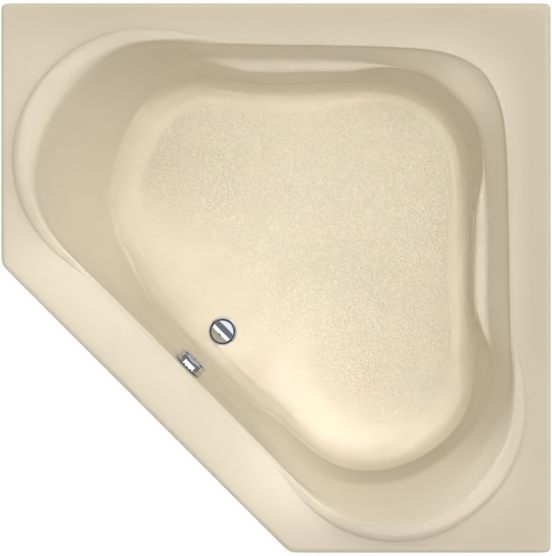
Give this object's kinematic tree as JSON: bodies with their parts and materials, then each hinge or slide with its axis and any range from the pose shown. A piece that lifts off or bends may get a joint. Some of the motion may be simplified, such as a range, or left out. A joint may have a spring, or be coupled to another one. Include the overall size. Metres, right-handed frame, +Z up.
{
  "type": "soaking bathtub",
  "caption": "Drop-in five-sided corner soaking bathtub with crescent headrest rolls, armrest ledges, a textured floor and a knob-and-cable lift-up waste.",
  "frame": {"origin": "middle of the deck's outline, on the floor that the feet stand on", "axes": "+Z up; the two long wall sides of the deck face +X and +Y and meet at the room corner; the cut front edge faces -X -Y"},
  "size_m": [1.524, 1.524, 0.5883],
  "materials": {
    "acrylic": "glossy bone acrylic, pebbled on the middle of the floor",
    "fibreglass": "rough sprayed glass-fibre backing",
    "plywood": "raw plywood",
    "softwood": "planed softwood",
    "painted_steel": "grey powder coat",
    "zinc_steel": "zinc plated",
    "rubber": "matt black rubber",
    "foot_rubber": "matt black rubber pad",
    "chrome": "polished chrome",
    "tube_chrome": "plain plated tube",
    "black_plastic": "black moulded plastic"
  },
  "bodies": {
    "tub": {"tub_shell": "acrylic", "shell_backing": "fibreglass", "floor_board": "plywood", "rim_rail_wall_back": "softwood", "rim_rail_wall_right": "softwood", "rim_rail_return_left": "softwood", "rim_rail_return_bottom": "softwood", "rim_rail_front": "softwood", "cradle_front_rail": "painted_steel", "cradle_left_rail": "painted_steel", "cradle_right_rail": "painted_steel", "cradle_rear_rail": "painted_steel", "cradle_nose_rail": "painted_steel", "cradle_screws": "zinc_steel", "foot_lock_nuts": "zinc_steel", "drain_flange": "chrome", "drain_gasket": "rubber", "drain_shoe": "black_plastic", "waste_tube": "tube_chrome", "waste_tee": "black_plastic", "outlet_tailpiece": "tube_chrome", "slip_nuts": "black_plastic", "overflow_pipe": "tube_chrome", "overflow_body": "black_plastic", "overflow_gasket": "rubber", "overflow_trim": "chrome", "control_cable": "black_plastic", "cable_glands": "zinc_steel"},
    "overflow_handle": {"overflow_knob": "chrome", "overflow_spindle": "zinc_steel", "overflow_cable_drum": "black_plastic", "knob_screw": "zinc_steel"},
    "stopper": {"stopper_cap": "chrome", "stopper_seal": "rubber", "stopper_stem": "chrome"},
    "foot_front_left": {"foot_stud_front_left": "zinc_steel", "foot_pad_front_left": "foot_rubber"},
    "foot_front_right": {"foot_stud_front_right": "zinc_steel", "foot_pad_front_right": "foot_rubber"},
    "foot_rear_left": {"foot_stud_rear_left": "zinc_steel", "foot_pad_rear_left": "foot_rubber"},
    "foot_rear_right": {"foot_stud_rear_right": "zinc_steel", "foot_pad_rear_right": "foot_rubber"},
    "foot_nose": {"foot_stud_nose": "zinc_steel", "foot_pad_nose": "foot_rubber"}
  },
  "joints": [
    {"name": "knob_turn", "type": "hinge", "parent": "tub", "child": "overflow_handle", "pos_m": [-0.24825, -0.24825, 0.486], "axis": [0.7049, 0.7049, 0.0791], "range_deg": [0, 100]},
    {"name": "stopper_lift", "type": "slide", "parent": "tub", "child": "stopper", "axis": [0, 0, 1], "range_m": [0, 0.011]},
    {"name": "level_front_left", "type": "slide", "parent": "tub", "child": "foot_front_left", "axis": [0, 0, 1], "range_m": [-0.008, 0.01]},
    {"name": "level_front_right", "type": "slide", "parent": "tub", "child": "foot_front_right", "axis": [0, 0, 1], "range_m": [-0.008, 0.01]},
    {"name": "level_rear_left", "type": "slide", "parent": "tub", "child": "foot_rear_left", "axis": [0, 0, 1], "range_m": [-0.008, 0.01]},
    {"name": "level_rear_right", "type": "slide", "parent": "tub", "child": "foot_rear_right", "axis": [0, 0, 1], "range_m": [-0.008, 0.01]},
    {"name": "level_nose", "type": "slide", "parent": "tub", "child": "foot_nose", "axis": [0, 0, 1], "range_m": [-0.008, 0.01]}
  ],
  "couplings": [
    {"joint": "stopper_lift", "follows": "knob_turn", "m_per_rad": 0.006303}
  ]
}
